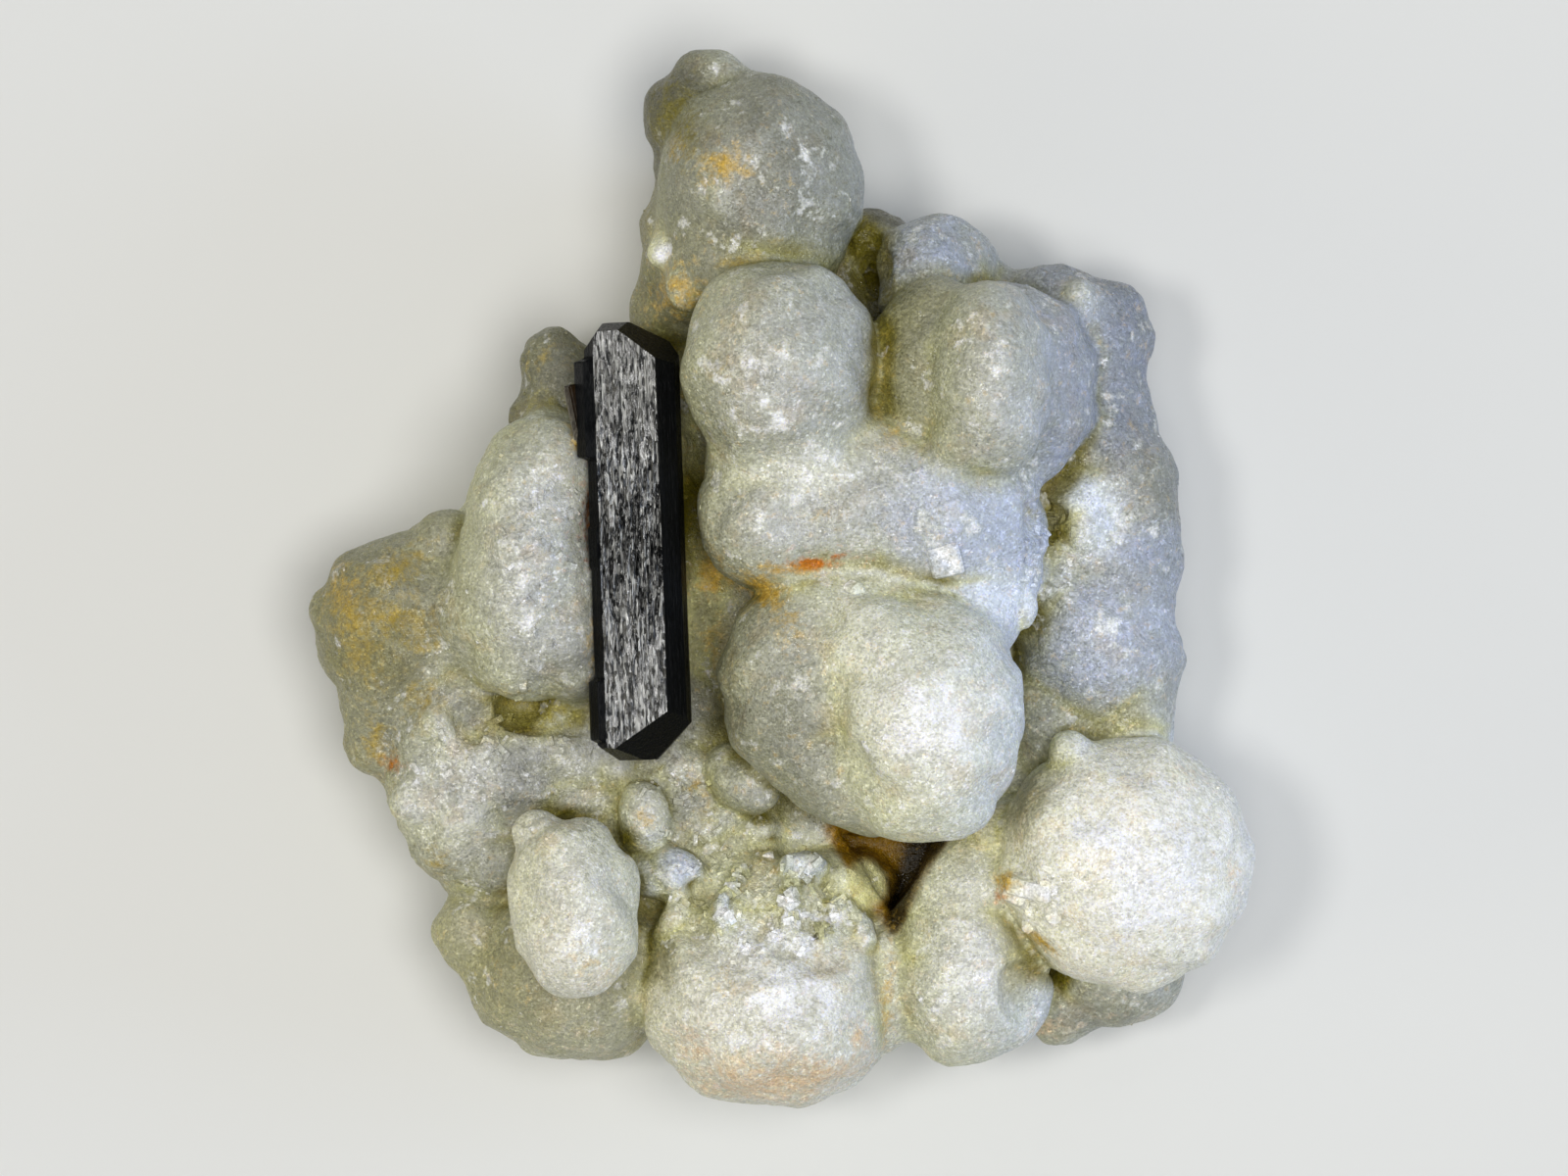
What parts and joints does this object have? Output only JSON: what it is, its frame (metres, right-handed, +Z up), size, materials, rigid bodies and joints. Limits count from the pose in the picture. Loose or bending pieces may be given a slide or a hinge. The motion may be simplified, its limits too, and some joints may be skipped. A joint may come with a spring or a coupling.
{
  "type": "prehnite with epidote specimen",
  "caption": "Hand specimen of pale green prehnite in fused rounded balls, with a black epidote crystal lying across its face; rests on its flat broken back.",
  "frame": {"origin": "middle of the flat broken back that the specimen lies on", "axes": "+Z up out of the face, +Y towards the top of the face (the single ball at the narrow end), +X to the right of the face"},
  "size_m": [0.0672, 0.0749, 0.0345],
  "materials": {
    "prehnite": "translucent pale green, sugary crystal skin with olive creases and ochre iron stains",
    "epidote": "greenish black, glassy, streaked along its length with small pits"
  },
  "bodies": {
    "root": {"prehnite_cluster": "prehnite", "epidote_crystal": "epidote"}
  },
  "joints": []
}
